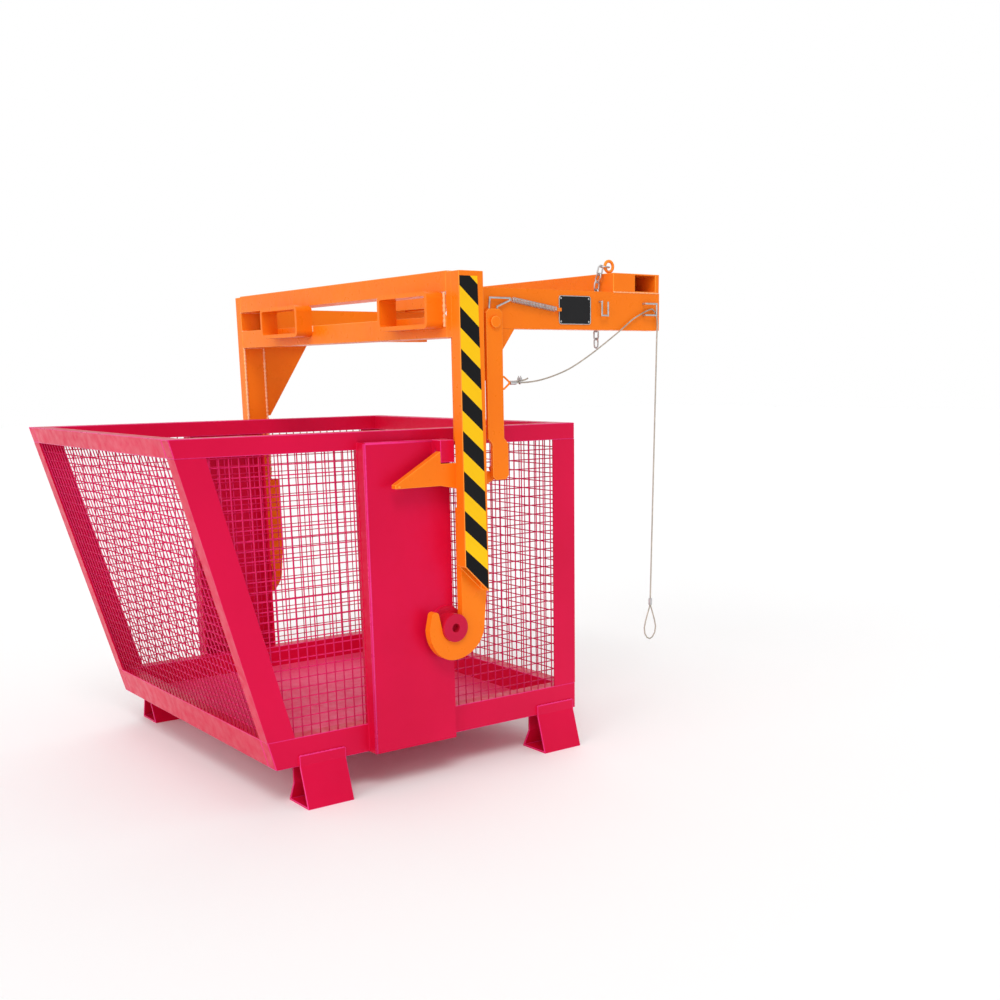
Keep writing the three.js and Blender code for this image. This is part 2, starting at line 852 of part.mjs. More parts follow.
// The rope leaves the lever's eye, sags to the guide, bends over it and hangs free
const ropeY = ropeRadius + wireRadius + gap - beamFace - standOff;
const ropeStartX = leverPivotX + leverWidth / 2 + eyeReach + wireRadius + 2 * gap + clampLength;
const ropeSagX = ropeStartX + clampLength;
const ropeGuideX = guideRear - guideLength / 2;
const ropeGuideZ = guideTop - guideHeight / 2;
const ropePoints = [
  [0, 0],
  ...ropeSagShares.map(([x, z]) => [
    ropeSagX - ropeStartX + x * (ropeGuideX - ropeSagX), z * (ropeGuideZ - ropeStartZ),
  ]),
  ...ropeBend.map(([x, z]) => [ropeGuideX - ropeStartX + x, ropeGuideZ - ropeStartZ - z]),
  ...ropeFallShares.map((share) => [
    ropeGuideX - ropeStartX + ropeFallReach + share * ropeFallDrift,
    ropeGuideZ - ropeStartZ - ropeFallDrop - share * ropeFall,
  ]),
].map(([x, z]) => new THREE.Vector3(ropeStartX + x, ropeY, ropeStartZ + z));
const ropeEnd = ropePoints[ropePoints.length - 1];

function ropeClamp() {
  const x = ropeStartX - clampLength;
  const geometry = new THREE.CylinderGeometry(clampRadius, clampRadius, clampLength - gap, wireSides);
  geometry.rotateZ(Math.PI / 2);
  geometry.translate(x + clampLength / 2, ropeY, ropeStartZ);
  return geometry;
}

// The rope's end is doubled back to a hand loop, which a clamp closes
function endClamp() {
  const geometry = new THREE.CylinderGeometry(clampRadius, clampRadius, clampLength - gap, wireSides);
  geometry.rotateX(Math.PI / 2);
  geometry.translate(ropeEnd.x, ropeY, ropeEnd.z - gap - clampLength / 2);
  return geometry;
}

function endLoop() {
  const top = ropeEnd.z - clampLength - 2 * gap;
  const neck = ropeRadius + gap;
  return bentWire([[neck, 0], ...loopOutline, [-neck, 0]].map(
    ([x, drop]) => [ropeEnd.x + x, ropeY, top - drop]), ropeRadius);
}

function ropeHanger() {
  const out = -beamFace - standOff;
  const low = hangerTop - hangerDrop;
  const front = frameRear - hangerInset;
  const rear = front + hangerWidth;
  return bentWire([
    [front, -beamFace - gap, hangerTop], [front, out, hangerTop], [front, out, low],
    [rear, out, low], [rear, out, hangerTop],
  ], wireRadius);
}

function ropeGuide() {
  const face = -beamFace - gap;
  const out = -beamFace - standOff;
  const front = guideRear - guideLength;
  const low = guideTop - guideHeight;
  return bentWire([
    [front, face, guideTop], [front, out, guideTop], [guideRear, out, guideTop],
    [guideRear, out, low], [front, out, low], [front, face, low],
  ], wireRadius);
}

function safetyEye() {
  const geometry = new THREE.TorusGeometry(eyeRingRadius, eyeRingWire, wireSides, roundSides / 2);
  geometry.rotateX(Math.PI / 2);
  const low = beamTop + crossHeight + gap;
  geometry.translate(crossFront + eyeRingSetBack, -beamFace + eyeRingInset, low + eyeRingRadius + eyeRingWire);
  return geometry;
}

// Assembly of the container
addPiece('floor_sheet', block(
  [frontAt(footHeight + floorRise) + railDepth + gap, rearReach - railDepth],
  [-(wall - railDepth), wall - railDepth],
  [footHeight + floorRise, footHeight + floorRise + floorSheet],
), red);
addPiece('front_rail', frontTube(footHeight, railTop), red);
addPiece('rear_rail', rearTube(footHeight, railTop), red);
addPiece('front_rim', frontTube(rimBottom, rimTop), red);
addPiece('rear_rim', rearTube(rimBottom, rimTop), red);
addPiece('front_net', leaningNet(), redWire);
addPiece('rear_net', endNet(rearReach - angleSheet - netStrand), redWire);
addPiece('catch_bracket', catchBracket(), red);

for (const [side, hand] of [[-1, 'near'], [1, 'far']]) {
  addPiece(`${hand}_rail`, sideTube(side, footHeight, railTop), red);
  addPiece(`${hand}_rim`, sideTube(side, rimBottom, rimTop), red);
  addPiece(`${hand}_front_angle`, frontAngle(side), red);
  addPiece(`${hand}_rear_angle`, rearAngle(side), red);
  addPiece(`${hand}_column`, sideColumn(side), red);
  addPiece(`${hand}_front_net`, sideNet(side, frontNetCorners()), redWire);
  addPiece(`${hand}_rear_net`, sideNet(side, rearNetCorners()), redWire);
  addPiece(`${hand}_trunnion`, trunnion(side), darkSteel);
  addPiece(`${hand}_front_foot`, foot(side, frontAt(footHeight) + frontFootInset), red);
  addPiece(`${hand}_rear_foot`, foot(side, rearReach - rearFootInset), red);

  // The frame on the same side
  addPiece(`${hand}_post`, post(side), orange);
  addPiece(`${hand}_hook`, hook(side), orange);
  addPiece(`${hand}_fork_sleeve`, forkSleeve(side), orange);
  addPiece(`${hand}_side_beam`, sideBeam(side), orange);
  addPiece(`${hand}_corner_gusset`, cornerGusset(side), orange);
}

// Assembly of the frame's single pieces
addPiece('cheek_plate', cheek(), orange);
addPiece('lower_chord', chord(headBottom, lowerChordHeight), orange);
addPiece('upper_chord', chord(headTop - upperChordHeight, upperChordHeight), orange);
addPiece('rear_cross_tube', crossTube(), orange);
addPiece('latch_bolt', latchBolt(), steel);
addPiece('lever_bolt', leverBolt(), orange);
addPiece('spring_anchor', springAnchor(), orange);
addPiece('rope_hanger', ropeHanger(), steel);
addPiece('rope_guide', ropeGuide(), steel);
addPiece('safety_eye', safetyEye(), orange);

// Assembly of the release gear
addPiece('latch_plate', latch(), orange);
addPiece('release_lever', lever(), orange);
addPiece('lever_spring_loop', leverLoop(), steel);
addPiece('lever_rope_eye', leverEye(), orange);
addPiece('return_spring', wire(new SpringCurve(), springWire, springCurls * springStepsPerCurl, springSides), steel);
addPiece('rope_clamp', ropeClamp(), steel);
addPiece('release_rope', wire(
  new THREE.CatmullRomCurve3(ropePoints, false, 'centripetal'), ropeRadius, ropeSteps, ropeSides,
), rope);
addPiece('rope_end_clamp', endClamp(), steel);
addPiece('rope_end_loop', endLoop(), rope);

console.log(`least gap of the spring to itself: ${leastSpringGap().toFixed(2)} mm`);

export default part;
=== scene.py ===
import json
import math

import bpy
from mathutils import Matrix, Vector, noise


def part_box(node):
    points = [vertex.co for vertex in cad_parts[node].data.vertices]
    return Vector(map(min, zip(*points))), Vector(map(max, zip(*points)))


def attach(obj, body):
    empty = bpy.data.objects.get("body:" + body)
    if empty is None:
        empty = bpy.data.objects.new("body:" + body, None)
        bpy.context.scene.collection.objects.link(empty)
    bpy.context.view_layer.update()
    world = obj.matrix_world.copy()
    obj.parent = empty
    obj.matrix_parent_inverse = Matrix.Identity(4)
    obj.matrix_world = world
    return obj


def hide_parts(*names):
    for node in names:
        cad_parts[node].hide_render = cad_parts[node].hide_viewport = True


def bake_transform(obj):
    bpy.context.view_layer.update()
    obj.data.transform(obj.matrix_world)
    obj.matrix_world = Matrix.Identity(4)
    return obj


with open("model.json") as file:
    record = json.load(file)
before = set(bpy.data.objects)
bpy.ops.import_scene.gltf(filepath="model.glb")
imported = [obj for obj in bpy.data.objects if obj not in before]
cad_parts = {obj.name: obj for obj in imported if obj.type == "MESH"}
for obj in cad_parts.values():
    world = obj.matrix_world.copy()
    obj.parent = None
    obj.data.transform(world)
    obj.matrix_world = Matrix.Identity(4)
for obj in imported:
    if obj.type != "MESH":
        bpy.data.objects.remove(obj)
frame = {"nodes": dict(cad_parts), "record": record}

# Sizes in metres that several pieces share; the lean is a ratio of two sizes in millimetres
MM = 0.001
LEAN_REACH, LEAN_HEIGHT = 240, 925
LEAN = LEAN_REACH / LEAN_HEIGHT
WALL = 600 * MM
NET_PITCH = 28 * MM
WIRE = 3.6 * MM
TAPE = 0.4 * MM
TINY = 1e-9

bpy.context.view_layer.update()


# Camera: fitted to points of the container and the frame in the photograph
FOCAL_PIXELS = 1242.06
PHOTO_SIDE = 1000
CENTRE_PIXEL = (529.76, 672.12)
CAMERA_AT = (-1.9842, -3.6821, 1.2001)
YAW, PITCH, ROLL = 0.64646, 0.23693, -0.01204
SENSOR_WIDTH = 36
CLIP_START = 0.05


def make_camera():
    data = bpy.data.cameras.new("camera")
    camera = bpy.data.objects.new("camera", data)
    bpy.context.collection.objects.link(camera)
    data.sensor_width = SENSOR_WIDTH
    data.lens = data.sensor_width * FOCAL_PIXELS / PHOTO_SIDE
    data.shift_x = 0.5 - CENTRE_PIXEL[0] / PHOTO_SIDE
    data.shift_y = CENTRE_PIXEL[1] / PHOTO_SIDE - 0.5
    level = Vector((math.sin(YAW), math.cos(YAW), 0))
    right = Vector((math.cos(YAW), -math.sin(YAW), 0))
    forward = level * math.cos(PITCH) - Vector((0, 0, math.sin(PITCH)))
    up = level * math.sin(PITCH) + Vector((0, 0, math.cos(PITCH)))
    rolled = right * math.cos(ROLL) + up * math.sin(ROLL)
    up = up * math.cos(ROLL) - right * math.sin(ROLL)
    turn = Matrix((rolled, up, -forward)).transposed()
    camera.matrix_world = Matrix.Translation(CAMERA_AT) @ turn.to_4x4()
    data.clip_start = CLIP_START
    bpy.context.scene.camera = camera


make_camera()


# Mesh helpers
CURVE_STEPS = 24
NEARLY_UPRIGHT = 0.9


def add_mesh(name, vertices, faces, material, body, smooth=False):
    """A new piece; without a body it stays unparented, for the caller to stage or keep loose."""
    mesh = bpy.data.meshes.new(name)
    mesh.from_pydata([tuple(v) for v in vertices], [], faces)
    mesh.update()
    mesh.materials.append(material)
    if smooth:
        mesh.polygons.foreach_set("use_smooth", [True] * len(mesh.polygons))
    piece = bpy.data.objects.new(name, mesh)
    bpy.context.collection.objects.link(piece)
    if body:
        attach(piece, body)
    return piece


def tube(path, radius, sides=8, closed=False):
    """Vertices and faces of a tube along points; radius is one number or one for each point."""
    points = [Vector(p) for p in path]
    count = len(points)
    radii = radius if isinstance(radius, list) else [radius] * count
    vertices, faces = [], []
    across = None
    for i, point in enumerate(points):
        before = points[i - 1] if i or closed else point
        after = points[(i + 1) % count] if i + 1 < count or closed else point
        along = (after - before).normalized()
        if across is None:
            helper = Vector((0, 0, 1)) if abs(along.z) < NEARLY_UPRIGHT else Vector((1, 0, 0))
            across = along.cross(helper).normalized()
        across = (across - along * across.dot(along)).normalized()
        other = along.cross(across)
        for k in range(sides):
            turn = 2 * math.pi * k / sides
            vertices.append(point + (across * math.cos(turn) + other * math.sin(turn)) * radii[i])
    rings = count if closed else count - 1
    for i in range(rings):
        low, high = i * sides, (i + 1) % count * sides
        for k in range(sides):
            k2 = (k + 1) % sides
            faces.append((low + k, low + k2, high + k2, high + k))
    if not closed:
        faces.append(tuple(reversed(range(sides))))
        faces.append(tuple(range((count - 1) * sides, count * sides)))
    return vertices, faces


def merged(parts):
    vertices, faces = [], []
    for part_vertices, part_faces in parts:
        start = len(vertices)
        vertices += part_vertices
        faces += [tuple(start + i for i in face) for face in part_faces]
    return vertices, faces


def plate_mesh(outline, near, far):
    """A flat plate from its outline in (x, z), between two places across."""
    count = len(outline)
    vertices = [(x, near, z) for x, z in outline] + [(x, far, z) for x, z in outline]
    faces = [tuple(range(count)), tuple(reversed(range(count, 2 * count)))]
    faces += [(k, count + k, count + (k + 1) % count, (k + 1) % count) for k in range(count)]
    return vertices, faces


def button(x, seat, z, profile, sides):
    """A turned head that stands out of a near face, from pairs of radius and rise."""
    path = [(x, seat - rise, z) for _, rise in profile]
    return tube(path, [radius for radius, _ in profile], sides)


def path_length(points):
    return sum((b - a).length for a, b in zip(points, points[1:]))


def smooth_path(points, steps):
    """Points evenly laid on a curve through the given points."""
    points = [Vector(p) for p in points]
    ends = [points[0] * 2 - points[1]] + points + [points[-1] * 2 - points[-2]]
    fine = []
    for a, b, c, d in zip(ends, ends[1:], ends[2:], ends[3:]):
        for i in range(CURVE_STEPS):
            t = i / CURVE_STEPS
            fine.append(
                0.5 * (2 * b + (c - a) * t + (2 * a - 5 * b + 4 * c - d) * t * t
                       + (3 * b - a - 3 * c + d) * t ** 3)
            )
    fine.append(points[-1])
    lengths = [0]
    for a, b in zip(fine, fine[1:]):
        lengths.append(lengths[-1] + (b - a).length)
    even, k = [], 0
    for i in range(steps + 1):
        target = lengths[-1] * i / steps
        while k < len(lengths) - 2 and lengths[k + 1] < target:
            k += 1
        span = max(lengths[k + 1] - lengths[k], TINY)
        even.append(fine[k].lerp(fine[k + 1], min(max((target - lengths[k]) / span, 0), 1)))
    return even


# Materials
PEEL = 0.6 * MM
FILM_PEEL = 0.2 * MM
WELD_PEEL = 2 * MM


def new_material(name):
    material = bpy.data.materials.new(name)
    material.use_nodes = True
    nodes = material.node_tree.nodes
    return material, nodes, material.node_tree.links, nodes["Principled BSDF"]


def noise_node(nodes, links, scale, detail):
    place = nodes.new("ShaderNodeTexCoord")
    texture = nodes.new("ShaderNodeTexNoise")
    texture.inputs["Scale"].default_value = scale
    texture.inputs["Detail"].default_value = detail
    links.new(place.outputs["Object"], texture.inputs["Vector"])
    return texture


def ramp(nodes, links, source, low, high, first, last):
    """Goes from the first colour or grey level, at low, to the last one, at high."""
    node = nodes.new("ShaderNodeValToRGB")
    for element, position, value in zip(node.color_ramp.elements, (low, high), (first, last)):
        element.position = position
        element.color = (*value, 1) if isinstance(value, tuple) else (value, value, value, 1)
    links.new(source, node.inputs["Fac"])
    return node


def painted(name, colour, shade, roughness, tint, gloss=0.5, peel=PEEL):
    """Sprayed paint: cloudy colour, scuffs in the gloss, and orange peel."""
    material, nodes, links, shader = new_material(name)
    clouds = noise_node(nodes, links, scale=2.6, detail=5)
    colours = ramp(nodes, links, clouds.outputs["Fac"], low=0.3, high=0.72, first=shade, last=colour)
    links.new(colours.outputs["Color"], shader.inputs["Base Color"])
    scuffs = noise_node(nodes, links, scale=34, detail=8)
    scuffed = ramp(nodes, links, scuffs.outputs["Fac"], low=0.35, high=0.75,
                   first=roughness - 0.06, last=roughness + 0.18)
    links.new(scuffed.outputs["Color"], shader.inputs["Roughness"])
    skin = noise_node(nodes, links, scale=240, detail=2)
    bump = nodes.new("ShaderNodeBump")
    bump.inputs["Strength"].default_value = 0.22
    bump.inputs["Distance"].default_value = peel
    links.new(skin.outputs["Fac"], bump.inputs["Height"])
    links.new(bump.outputs["Normal"], shader.inputs["Normal"])
    shader.inputs["Specular Tint"].default_value = (*tint, 1)
    shader.inputs["Specular IOR Level"].default_value = gloss
    return material


def plated(name, colour, roughness):
    """Plated or bare steel, cloudy in its colour and gloss."""
    material, nodes, links, shader = new_material(name)
    clouds = noise_node(nodes, links, scale=60, detail=6)
    darker = tuple(c * 0.72 for c in colour)
    colours = ramp(nodes, links, clouds.outputs["Fac"], low=0.3, high=0.7, first=darker, last=colour)
    links.new(colours.outputs["Color"], shader.inputs["Base Color"])
    shader.inputs["Metallic"].default_value = 0.85
    worn = ramp(nodes, links, clouds.outputs["Fac"], low=0.2, high=0.8,
                first=roughness, last=roughness + 0.2)
    links.new(worn.outputs["Color"], shader.inputs["Roughness"])
    return material


MAGENTA = (1.0, 0.12, 0.5)
AMBER = (1.0, 0.62, 0.25)
GREY = (0.8, 0.8, 0.8)
RED = painted("red_paint", (0.69, 0.004, 0.044), (0.6, 0.003, 0.032), 0.34, MAGENTA, 0.65)
# A brighter, pinker red for rounded edges and edge trim: a painted highlight
EDGE_HIGHLIGHT_RED = painted("edge_highlight_red", (0.85, 0.05, 0.26), (0.74, 0.02, 0.16), 0.3, MAGENTA, 1.0)
NET_RED = painted("net_paint", (0.72, 0.015, 0.11), (0.6, 0.01, 0.08), 0.4, MAGENTA, 0.9)
# The floor sheet's red, lighter and pinker than the rest: its paint with a painted reflection
FLOOR_SHEEN_RED = painted("floor_paint_and_sheen", (0.84, 0.08, 0.2), (0.66, 0.04, 0.11), 0.42, MAGENTA, 0.7)
ORANGE = painted("orange_paint", (0.95, 0.215, 0.006), (0.88, 0.17, 0.005), 0.32, AMBER, 0.5)
# A brighter orange for rounded edges and the latch rivet: a painted highlight
EDGE_HIGHLIGHT_ORANGE = painted("edge_highlight_orange", (1.0, 0.36, 0.06), (0.95, 0.27, 0.02), 0.3, AMBER, 0.6)
# Weld beads in a paler orange than the frame: a painted highlight
WELD = painted("weld_bead_highlight", (1.0, 0.56, 0.3), (0.95, 0.36, 0.12), 0.34, GREY, 0.9, WELD_PEEL)
YELLOW = painted("tape_yellow", (0.93, 0.56, 0.006), (0.88, 0.5, 0.006), 0.4, AMBER, 0.3, FILM_PEEL)
BLACK = painted("tape_black", (0.006, 0.006, 0.007), (0.01, 0.01, 0.01), 0.45, GREY, 0.12, FILM_PEEL)
PLATE = painted("plate_black", (0.008, 0.008, 0.009), (0.014, 0.014, 0.015), 0.34, GREY, 0.2, FILM_PEEL)
STEEL = plated("plated_steel", (0.62, 0.62, 0.62), 0.28)
TRUNNION = painted("trunnion_paint", (0.6, 0.006, 0.03), (0.42, 0.008, 0.022), 0.36, MAGENTA, 0.8)
ROPE = plated("wire_rope", (0.58, 0.53, 0.45), 0.38)

SLOT_MATERIAL = {
    "container_red": RED, "net_red": NET_RED, "frame_orange": ORANGE, "steel": STEEL,
    "trunnion_steel": TRUNNION, "rope_steel": ROPE,
}


# The imported nodes get their paint, and rounded edges in a brighter colour of it, a painted highlight
BEVEL = {"container_red": 1.9 * MM, "frame_orange": 1.6 * MM}
FINE_BEVEL = 0.8 * MM
EDGE_HIGHLIGHT_MATERIAL = {"container_red": EDGE_HIGHLIGHT_RED, "frame_orange": EDGE_HIGHLIGHT_ORANGE}
SHARP = math.radians(28)
WELD_DISTANCE = 0.01 * MM


def round_edges(piece, slot):
    bevel = piece.modifiers.new("bevel", "BEVEL")
    bevel.width = BEVEL.get(slot, FINE_BEVEL)
    bevel.segments = 2
    # The rounding takes the brighter edge colour, a painted highlight
    if slot in EDGE_HIGHLIGHT_MATERIAL:
        piece.data.materials.append(EDGE_HIGHLIGHT_MATERIAL[slot])
        bevel.material = 1
    return bevel


def dress_nodes():
    slots = {part["node"]: part["material_slot"] for part in frame["record"]["subparts"]}
    for name, node in frame["nodes"].items():
        slot = slots[name]
        node.data.materials.clear()
        # The floor sheet takes the red with a painted reflection
        node.data.materials.append(FLOOR_SHEEN_RED if name == "floor_sheet" else SLOT_MATERIAL[slot])
        weld = node.modifiers.new("weld", "WELD")
        weld.merge_threshold = WELD_DISTANCE
        bevel = round_edges(node, slot)
        bevel.limit_method = "ANGLE"
        bevel.angle_limit = SHARP
        bevel.harden_normals = True


dress_nodes()


# Nets: welded wires at the real pitch, in two layers that touch
LAYER_OFFSET = WIRE * 0.45
WIRE_SIDES = 6
NET_STRAND = 5 * MM


def steps_between(low, high, pitch):
    count = max(round((high - low) / pitch), 1)
    return [low + (high - low) * i / count for i in range(count + 1)]


def net_piece(name, lines, *nodes):
    vertices, faces = merged([tube(line, WIRE / 2, WIRE_SIDES) for line in lines])
    piece = add_mesh(name, vertices, faces, NET_RED, "container", smooth=True)
    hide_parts(*nodes)


def side_net(name, front_node, rear_node):
    """One net from the front angle to the rear angle, which also runs behind the column."""
    low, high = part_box(front_node)
    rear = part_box(rear_node)[1][0]
    side = -1 if low[1] < 0 else 1
    middle = (low[1] + high[1]) / 2
    outer, inner = middle + side * LAYER_OFFSET, middle - side * LAYER_OFFSET
    lines = []
    for x in steps_between(low[0], rear, NET_PITCH)[1:-1]:
        foot = max(low[2], high[2] - (x - low[0]) / LEAN)
        lines.append([(x, outer, foot), (x, outer, high[2])])
    for z in steps_between(low[2], high[2], NET_PITCH)[1:-1]:
        lines.append([(low[0] + LEAN * (high[2] - z), inner, z), (rear, inner, z)])
    net_piece(name, lines, front_node, rear_node)


def end_net(name, node, lean):
    low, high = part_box(node)
    face = high[0] - NET_STRAND / 2

    def face_at(z):
        return face - lean * (z - low[2])

    lines = []
    for y in steps_between(low[1], high[1], NET_PITCH)[1:-1]:
        foot, top = face_at(low[2]) - LAYER_OFFSET, face_at(high[2]) - LAYER_OFFSET
        lines.append([(foot, y, low[2]), (top, y, high[2])])
    for z in steps_between(low[2], high[2], NET_PITCH * math.cos(math.atan(lean)))[1:-1]:
        x = face_at(z) + LAYER_OFFSET
        lines.append([(x, low[1], z), (x, high[1], z)])
    net_piece(name, lines, node)


for hand in ("near", "far"):
    side_net(f"net_{hand}", f"{hand}_front_net", f"{hand}_rear_net")
end_net("net_front", "front_net", LEAN)
end_net("net_rear", "rear_net", 0)


# Hazard striping on the near post, laid a little crooked as in the photograph
STRIPE_PERIOD = 112.5 * MM
STRIPE_SLOPE = 0.87
STRIPE_INSET = 2 * MM
STRIPE_TOP_INSET = 20 * MM
FIRST_STRIPE_ENDS = 26 * MM
TAPE_TOP_DROP = 14 * MM
POST_FOOT_CUT = 80 * MM
LOWEST_STRIPE, HIGHEST_STRIPE = -20, 2


def clipped(polygon, inside, cross):
    kept = []
    for i, point in enumerate(polygon):
        following = polygon[(i + 1) % len(polygon)]
        if inside(point):
            kept.append(point)
        if inside(point) != inside(following):
            kept.append(cross(point, following))
    return kept


def band(polygon, low, high):
    """What of a polygon in (x, z) lies in the slanted band between two values."""
    def level_of(point):
        return STRIPE_SLOPE * point[0] + point[1]

    def crossing(level):
        def meet(a, b):
            share = (level - level_of(a)) / (level_of(b) - level_of(a))
            return (a[0] + (b[0] - a[0]) * share, a[1] + (b[1] - a[1]) * share)
        return meet

    polygon = clipped(polygon, lambda p: level_of(p) >= low, crossing(low))
    return clipped(polygon, lambda p: level_of(p) <= high, crossing(high))


def tape_outline(low, high):
    left, right = low[0] + STRIPE_INSET, high[0] - STRIPE_INSET
    cut = POST_FOOT_CUT / (high[0] - low[0])

    def foot(x):
        return low[2] + (high[0] - x) * cut + STRIPE_INSET * 2

    top = high[2] - TAPE_TOP_DROP
    return [(left, foot(left)), (right, foot(right)), (high[0] - STRIPE_TOP_INSET, top), (left, top)]


def hazard_tape(name, node, body):
    low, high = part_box(node)
    face = low[1] - TAPE
    outline = tape_outline(low, high)
    left, top = outline[-1]
    half = STRIPE_PERIOD / 2
    start = STRIPE_SLOPE * left + top - FIRST_STRIPE_ENDS
    vertices, faces, paints = [], [], []
    for i in range(LOWEST_STRIPE, HIGHEST_STRIPE + 1):
        stripe = band(outline, start + i * half, start + (i + 1) * half)
        count = len(stripe)
        if count < 3:
            continue
        first = len(vertices)
        vertices += [(x, face, z) for x, z in stripe] + [(x, low[1], z) for x, z in stripe]
        faces.append(tuple(first + k for k in range(count)))
        faces += [
            (first + k, first + count + k, first + count + (k + 1) % count, first + (k + 1) % count)
            for k in range(count)
        ]
        paints += [(i + 1) % 2] * (count + 1)
    tape = add_mesh(name, vertices, faces, YELLOW, body)
    tape.data.materials.append(BLACK)
    tape.data.polygons.foreach_set("material_index", paints)


hazard_tape("hazard_tape", "near_post", "frame")


# Closed ends of the side tubes, and the rounded edges of the pressed columns in a brighter red, a painted
# highlight
CAP = 5 * MM
CAP_SET_BACK = 0.4 * MM
CAP_CROWN = 1.2 * MM
BORE_INSET = 3.5 * MM
FRONT_FOOT = -552 * MM
RAIL_BOTTOM = 120 * MM
COLUMN_EDGE = 4.5 * MM
COLUMN_EDGE_STANDS_OUT = 0.8 * MM
COLUMN_EDGE_FOOT = 1 * MM
COLUMN_EDGE_SIDES = 14


def front_at(z):
    return FRONT_FOOT - LEAN * (z - RAIL_BOTTOM)


def tube_cap(low, high, outer_at, inward):
    """A welded plate in a tube's end, with a chamfer round its outer face."""
    vertices = []
    for depth, inset in ((CAP, 0), (CAP_CROWN, 0), (0, CAP_CROWN)):
        y0, y1 = low[1] + BORE_INSET + inset, high[1] - BORE_INSET - inset
        z0, z1 = low[2] + BORE_INSET + inset, high[2] - BORE_INSET - inset
        for y, z in ((y0, z0), (y1, z0), (y1, z1), (y0, z1)):
            vertices.append((outer_at(z) + inward * (depth + CAP_SET_BACK), y, z))
    faces = [(3, 2, 1, 0), (8, 9, 10, 11)]
    for ring in (0, 4):
        faces += [(ring + k, ring + (k + 1) % 4, ring + 4 + (k + 1) % 4, ring + 4 + k) for k in range(4)]
    if inward > 0:
        faces = [tuple(reversed(face)) for face in faces]
    return vertices, faces


def tube_caps(hand):
    caps = []
    for name in ("rail", "rim"):
        low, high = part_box(f"{hand}_{name}")
        caps.append(tube_cap(low, high, front_at, 1))
        caps.append(tube_cap(low, high, lambda z, rear=high[0]: rear, -1))
    vertices, faces = merged(caps)
    add_mesh(f"{hand}_tube_caps", vertices, faces, RED, "container")


def column_edge(hand, side):
    low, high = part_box(f"{hand}_column")
    y = side * (max(abs(low[1]), abs(high[1])) - COLUMN_EDGE + COLUMN_EDGE_STANDS_OUT)
    front = low[0] + COLUMN_EDGE - COLUMN_EDGE_STANDS_OUT
    top = high[2] - COLUMN_EDGE + COLUMN_EDGE_STANDS_OUT
    upright = [(front, y, low[2] + COLUMN_EDGE_FOOT), (front, y, top)]
    level = [(front, y, top), (high[0] - COLUMN_EDGE, y, top)]
    vertices, faces = merged([tube(line, COLUMN_EDGE, COLUMN_EDGE_SIDES) for line in (upright, level)])
    # The edge tube is in the brighter red, a painted highlight
    piece = add_mesh(f"{hand}_column_edge", vertices, faces, EDGE_HIGHLIGHT_RED, "container", smooth=True)


for hand, side in (("near", -1), ("far", 1)):
    tube_caps(hand)
    column_edge(hand, side)


# The far corner gusset is larger than the near one, which the release lever crosses
GUSSET_REACH, GUSSET_DROP, GUSSET_NOSE = 180 * MM, 268 * MM, 12 * MM


def far_gusset():
    low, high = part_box("far_corner_gusset")
    front, top = low[0], high[2]
    outline = [
        (front, top), (front + GUSSET_REACH, top), (front + GUSSET_REACH, top - GUSSET_NOSE),
        (front + GUSSET_NOSE, top - GUSSET_DROP), (front, top - GUSSET_DROP),
    ]
    vertices, faces = plate_mesh(outline, low[1], high[1])
    piece = add_mesh("far_gusset_plate", vertices, faces, ORANGE, "frame")
    round_edges(piece, "frame_orange")
    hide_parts("far_corner_gusset")


far_gusset()


# Weld beads: a lumpy ridge along a straight seam; on the frame they take a paler orange, a painted highlight
BEAD = 3 * MM
THIN_BEAD = 2.4 * MM
MEDIUM_BEAD = 2.6 * MM
POST_BEAD = 4.6 * MM
SLEEVE_BEAD = 5 * MM
BEAD_STEP = 4 * MM
FEWEST_BEAD_STEPS = 8
BEAD_SIDES = 7
BEAD_SHARE, WAVE_SHARE, LUMP_SHARE = 0.86, 0.22, 0.3
WAVE_TURN = 1.9
LUMPS_PER_METRE = 90


def bead(name, start, end, body, radius=BEAD, material=WELD, seed=0):
    """The seed gives each kind of seam its own lumps."""
    start, end = Vector(start), Vector(end)
    steps = max(int((end - start).length / BEAD_STEP), FEWEST_BEAD_STEPS)
    points = [start.lerp(end, i / steps) for i in range(steps + 1)]
    radii = []
    for i, point in enumerate(points):
        lump = noise.noise(point * LUMPS_PER_METRE + Vector((seed, 0, 0)))
        radii.append(radius * (BEAD_SHARE + WAVE_SHARE * math.sin(i * WAVE_TURN) + LUMP_SHARE * lump))
    vertices, faces = tube(points, radii, BEAD_SIDES)
    piece = add_mesh(name, vertices, faces, material, body, smooth=True)


# Where the frame's seams start and stop, from the corners of what they join
HOOK_SEAM_INSET = 14 * MM
SLEEVE_SEAM_RISE = 16 * MM
CROSS_SEAM_INSET = 6 * MM
POST_SEAM_INSETS = {"front": 5 * MM, "rear": -1 * MM}
POST_SEAM_RISE = 8 * MM
SIDE_SEAM_OUT, SIDE_SEAM_BESIDE = 1 * MM, 3 * MM
SIDE_SEAM_RISE, SIDE_SEAM_DROP = 4 * MM, 2 * MM


